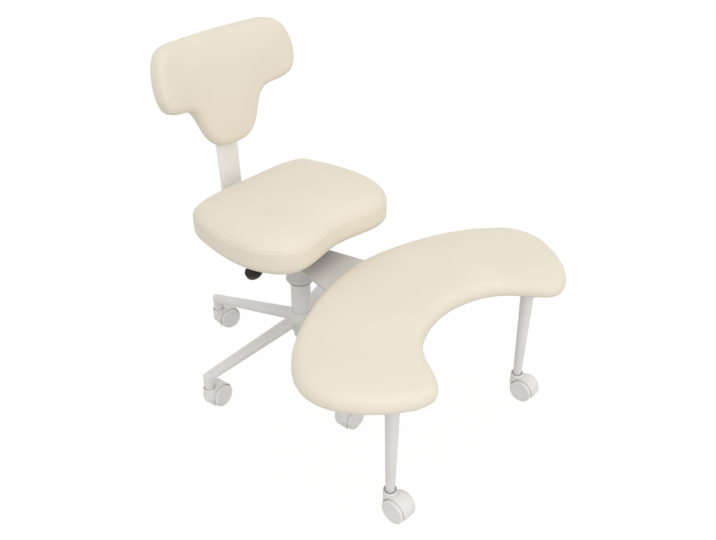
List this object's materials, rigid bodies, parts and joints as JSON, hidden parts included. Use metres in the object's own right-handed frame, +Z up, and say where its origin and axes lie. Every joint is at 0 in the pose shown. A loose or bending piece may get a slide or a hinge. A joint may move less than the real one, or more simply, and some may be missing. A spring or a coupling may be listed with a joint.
{
  "type": "office chair",
  "caption": "Swivel office chair with a T-shaped back and a crescent stool that swings round its column to carry crossed legs.",
  "frame": {"origin": "on the floor, under the middle of the whole chair's box", "axes": "+Z up, the chair faces -Y, +X to the sitter's left"},
  "size_m": [0.8014, 0.9046, 0.8478],
  "materials": {
    "paint": "satin warm light grey",
    "caster_plastic": "moulded, warm light grey",
    "cover": "smooth cream coated cloth over foam",
    "steel": "ground",
    "plywood": "raw",
    "back_shell": "moulded, warm pale grey",
    "black_plastic": "moulded, black",
    "black_paint": "satin black"
  },
  "bodies": {
    "base": {"hub": "paint", "column_tube": "paint", "guide_bush": "black_plastic", "base_leg_1": "paint", "base_leg_2": "paint", "base_leg_3": "paint", "base_leg_4": "paint", "base_leg_5": "paint"},
    "stool": {"collar": "paint", "collar_bush": "black_plastic", "arm_plate": "paint", "stool_board": "plywood", "stool_cushion": "cover", "stool_leg_left": "paint", "stool_leg_right": "paint"},
    "lift": {"piston": "steel"},
    "release_pin": {"release_pin": "steel"},
    "seat": {"seat_mechanism": "black_paint", "seat_board": "plywood", "seat_cushion": "cover", "back_post": "paint", "back_board": "back_shell", "back_cushion": "cover"},
    "lever": {"lever_arm": "black_paint", "lever_paddle": "black_plastic"},
    "caster_1": {"caster_1_housing": "caster_plastic", "caster_1_stem": "steel", "caster_1_axle": "steel"},
    "caster_1_wheel_left": {"caster_1_wheel_left": "caster_plastic"},
    "caster_1_wheel_right": {"caster_1_wheel_right": "caster_plastic"},
    "caster_2": {"caster_2_housing": "caster_plastic", "caster_2_stem": "steel", "caster_2_axle": "steel"},
    "caster_2_wheel_left": {"caster_2_wheel_left": "caster_plastic"},
    "caster_2_wheel_right": {"caster_2_wheel_right": "caster_plastic"},
    "caster_3": {"caster_3_housing": "caster_plastic", "caster_3_stem": "steel", "caster_3_axle": "steel"},
    "caster_3_wheel_left": {"caster_3_wheel_left": "caster_plastic"},
    "caster_3_wheel_right": {"caster_3_wheel_right": "caster_plastic"},
    "caster_4": {"caster_4_housing": "caster_plastic", "caster_4_stem": "steel", "caster_4_axle": "steel"},
    "caster_4_wheel_left": {"caster_4_wheel_left": "caster_plastic"},
    "caster_4_wheel_right": {"caster_4_wheel_right": "caster_plastic"},
    "caster_5": {"caster_5_housing": "caster_plastic", "caster_5_stem": "steel", "caster_5_axle": "steel"},
    "caster_5_wheel_left": {"caster_5_wheel_left": "caster_plastic"},
    "caster_5_wheel_right": {"caster_5_wheel_right": "caster_plastic"},
    "caster_6": {"caster_6_housing": "caster_plastic", "caster_6_stem": "steel", "caster_6_axle": "steel"},
    "caster_6_wheel_left": {"caster_6_wheel_left": "caster_plastic"},
    "caster_6_wheel_right": {"caster_6_wheel_right": "caster_plastic"},
    "caster_7": {"caster_7_housing": "caster_plastic", "caster_7_stem": "steel", "caster_7_axle": "steel"},
    "caster_7_wheel_left": {"caster_7_wheel_left": "caster_plastic"},
    "caster_7_wheel_right": {"caster_7_wheel_right": "caster_plastic"}
  },
  "joints": [
    {"name": "stool_swivel", "type": "hinge", "parent": "base", "child": "stool", "pos_m": [0, 0.14068, 0.3], "axis": [0, 0, 1], "continuous": true},
    {"name": "seat_lift", "type": "slide", "parent": "base", "child": "lift", "axis": [0, 0, 1], "range_m": [0, 0.1]},
    {"name": "seat_swivel", "type": "hinge", "parent": "lift", "child": "seat", "pos_m": [0, 0.14068, 0.38], "axis": [0, 0, 1], "continuous": true},
    {"name": "lever_lift", "type": "hinge", "parent": "seat", "child": "lever", "pos_m": [-0.0635, 0.14068, 0.392], "axis": [0, 1, 0], "range_deg": [0, 4]},
    {"name": "release_pin_press", "type": "slide", "parent": "lift", "child": "release_pin", "axis": [0, 0, -1], "range_m": [0, 0.0049]},
    {"name": "caster_1_swivel", "type": "hinge", "parent": "base", "child": "caster_1", "pos_m": [-0.04444, 0.42776, 0.07], "axis": [0, 0, 1], "continuous": true},
    {"name": "caster_1_roll_left", "type": "hinge", "parent": "caster_1", "child": "caster_1_wheel_left", "pos_m": [-0.02052, 0.42246, 0.0285], "axis": [0.2164, 0.9763, 0], "continuous": true},
    {"name": "caster_1_roll_right", "type": "hinge", "parent": "caster_1", "child": "caster_1_wheel_right", "pos_m": [-0.02052, 0.42246, 0.0285], "axis": [0.2164, 0.9763, 0], "continuous": true},
    {"name": "caster_2_swivel", "type": "hinge", "parent": "base", "child": "caster_2", "pos_m": [-0.28676, 0.18713, 0.07], "axis": [0, 0, 1], "continuous": true},
    {"name": "caster_2_roll_left", "type": "hinge", "parent": "caster_2", "child": "caster_2_wheel_left", "pos_m": [-0.26234, 0.18905, 0.0285], "axis": [-0.0785, 0.9969, 0], "continuous": true},
    {"name": "caster_2_roll_right", "type": "hinge", "parent": "caster_2", "child": "caster_2_wheel_right", "pos_m": [-0.26234, 0.18905, 0.0285], "axis": [-0.0785, 0.9969, 0], "continuous": true},
    {"name": "caster_3_swivel", "type": "hinge", "parent": "base", "child": "caster_3", "pos_m": [-0.13279, -0.11769, 0.07], "axis": [0, 0, 1], "continuous": true},
    {"name": "caster_3_roll_left", "type": "hinge", "parent": "caster_3", "child": "caster_3_wheel_left", "pos_m": [-0.10829, -0.11812, 0.0285], "axis": [0.0175, 0.9998, 0], "continuous": true},
    {"name": "caster_3_roll_right", "type": "hinge", "parent": "caster_3", "child": "caster_3_wheel_right", "pos_m": [-0.10829, -0.11812, 0.0285], "axis": [0.0175, 0.9998, 0], "continuous": true},
    {"name": "caster_4_swivel", "type": "hinge", "parent": "base", "child": "caster_4", "pos_m": [0.2047, -0.06545, 0.07], "axis": [0, 0, 1], "continuous": true},
    {"name": "caster_4_roll_left", "type": "hinge", "parent": "caster_4", "child": "caster_4_wheel_left", "pos_m": [0.22346, -0.0497, 0.0285], "axis": [-0.6428, 0.766, 0], "continuous": true},
    {"name": "caster_4_roll_right", "type": "hinge", "parent": "caster_4", "child": "caster_4_wheel_right", "pos_m": [0.22346, -0.0497, 0.0285], "axis": [-0.6428, 0.766, 0], "continuous": true},
    {"name": "caster_5_swivel", "type": "hinge", "parent": "base", "child": "caster_5", "pos_m": [0.2593, 0.27166, 0.07], "axis": [0, 0, 1], "continuous": true},
    {"name": "caster_5_roll_left", "type": "hinge", "parent": "caster_5", "child": "caster_5_wheel_left", "pos_m": [0.28232, 0.26328, 0.0285], "axis": [0.342, 0.9397, 0], "continuous": true},
    {"name": "caster_5_roll_right", "type": "hinge", "parent": "caster_5", "child": "caster_5_wheel_right", "pos_m": [0.28232, 0.26328, 0.0285], "axis": [0.342, 0.9397, 0], "continuous": true},
    {"name": "caster_6_swivel", "type": "hinge", "parent": "stool", "child": "caster_6", "pos_m": [-0.2575, -0.36382, 0.07], "axis": [0, 0, 1], "continuous": true},
    {"name": "caster_6_roll_left", "type": "hinge", "parent": "caster_6", "child": "caster_6_wheel_left", "pos_m": [-0.25836, -0.3883, 0.0285], "axis": [0.9994, -0.0349, 0], "continuous": true},
    {"name": "caster_6_roll_right", "type": "hinge", "parent": "caster_6", "child": "caster_6_wheel_right", "pos_m": [-0.25836, -0.3883, 0.0285], "axis": [0.9994, -0.0349, 0], "continuous": true},
    {"name": "caster_7_swivel", "type": "hinge", "parent": "stool", "child": "caster_7", "pos_m": [0.2575, -0.36382, 0.07], "axis": [0, 0, 1], "continuous": true},
    {"name": "caster_7_roll_left", "type": "hinge", "parent": "caster_7", "child": "caster_7_wheel_left", "pos_m": [0.25814, -0.38831, 0.0285], "axis": [0.9997, 0.0262, 0], "continuous": true},
    {"name": "caster_7_roll_right", "type": "hinge", "parent": "caster_7", "child": "caster_7_wheel_right", "pos_m": [0.25814, -0.38831, 0.0285], "axis": [0.9997, 0.0262, 0], "continuous": true}
  ],
  "couplings": [
    {"joint": "release_pin_press", "follows": "lever_lift", "m_per_rad": 0.068}
  ]
}
